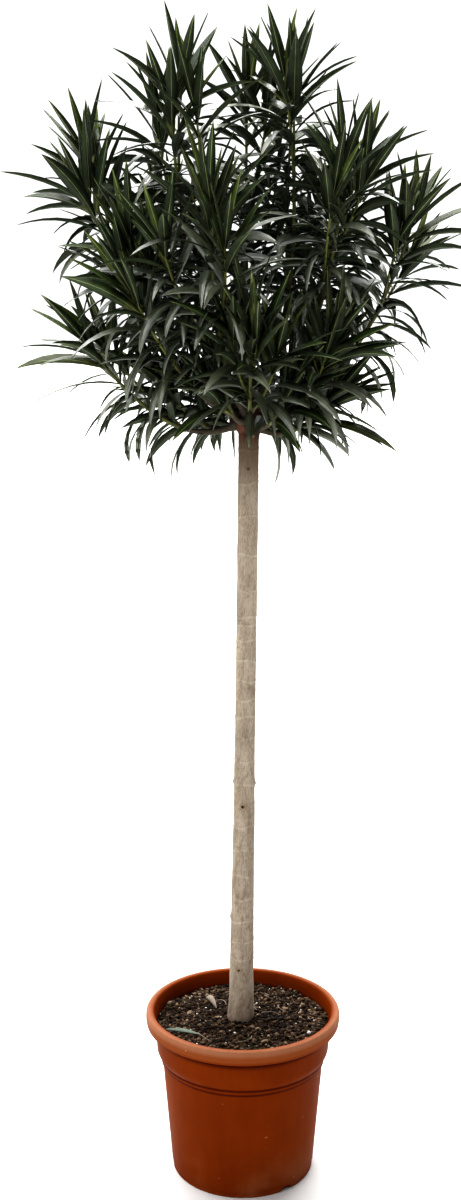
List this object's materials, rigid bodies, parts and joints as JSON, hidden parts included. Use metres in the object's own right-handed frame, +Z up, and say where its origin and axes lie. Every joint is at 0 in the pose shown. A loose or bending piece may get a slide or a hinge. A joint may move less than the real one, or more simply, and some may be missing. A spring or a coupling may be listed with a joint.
{
  "type": "potted oleander tree",
  "caption": "Evergreen shrub grown as a small standard tree: straight bare stem with a round, leafy head of long narrow leaves, in a round terracotta-coloured plastic pot filled with soil.",
  "frame": {"origin": "centre of the pot's flat underside, on the ground it stands on", "axes": "+Z up along the trunk, +X to the right and -Y to the front as the plant is usually seen"},
  "size_m": [0.7887, 0.6855, 2.0102],
  "materials": {
    "pot_plastic": "satin",
    "potting_soil": "matte",
    "bark": "matte",
    "foliage": "satin"
  },
  "bodies": {
    "root": {"pot": "pot_plastic", "soil": "potting_soil", "trunk": "bark", "bough_top_left": "bark", "bough_top_back": "bark", "bough_top_right": "bark", "bough_shoulder_right": "bark", "bough_far_right": "bark", "bough_low_right": "bark", "bough_far_left": "bark", "bough_left": "bark", "bough_low_left": "bark", "bough_front": "bark", "bough_front_low": "bark", "bough_back_left": "bark", "bough_back_right": "bark", "bough_back_low": "bark", "foliage_top_left": "foliage", "foliage_top_back": "foliage", "foliage_top_right": "foliage", "foliage_shoulder_right": "foliage", "foliage_far_right": "foliage", "foliage_low_right": "foliage", "foliage_far_left": "foliage", "foliage_left": "foliage", "foliage_low_left": "foliage", "foliage_front": "foliage", "foliage_front_low": "foliage", "foliage_back_left": "foliage", "foliage_back_right": "foliage", "foliage_back_low": "foliage", "foliage_skirt_right": "foliage", "foliage_skirt_front": "foliage", "foliage_skirt_left": "foliage", "foliage_skirt_far_left": "foliage", "foliage_skirt_back_left": "foliage", "foliage_skirt_back": "foliage"}
  },
  "joints": []
}
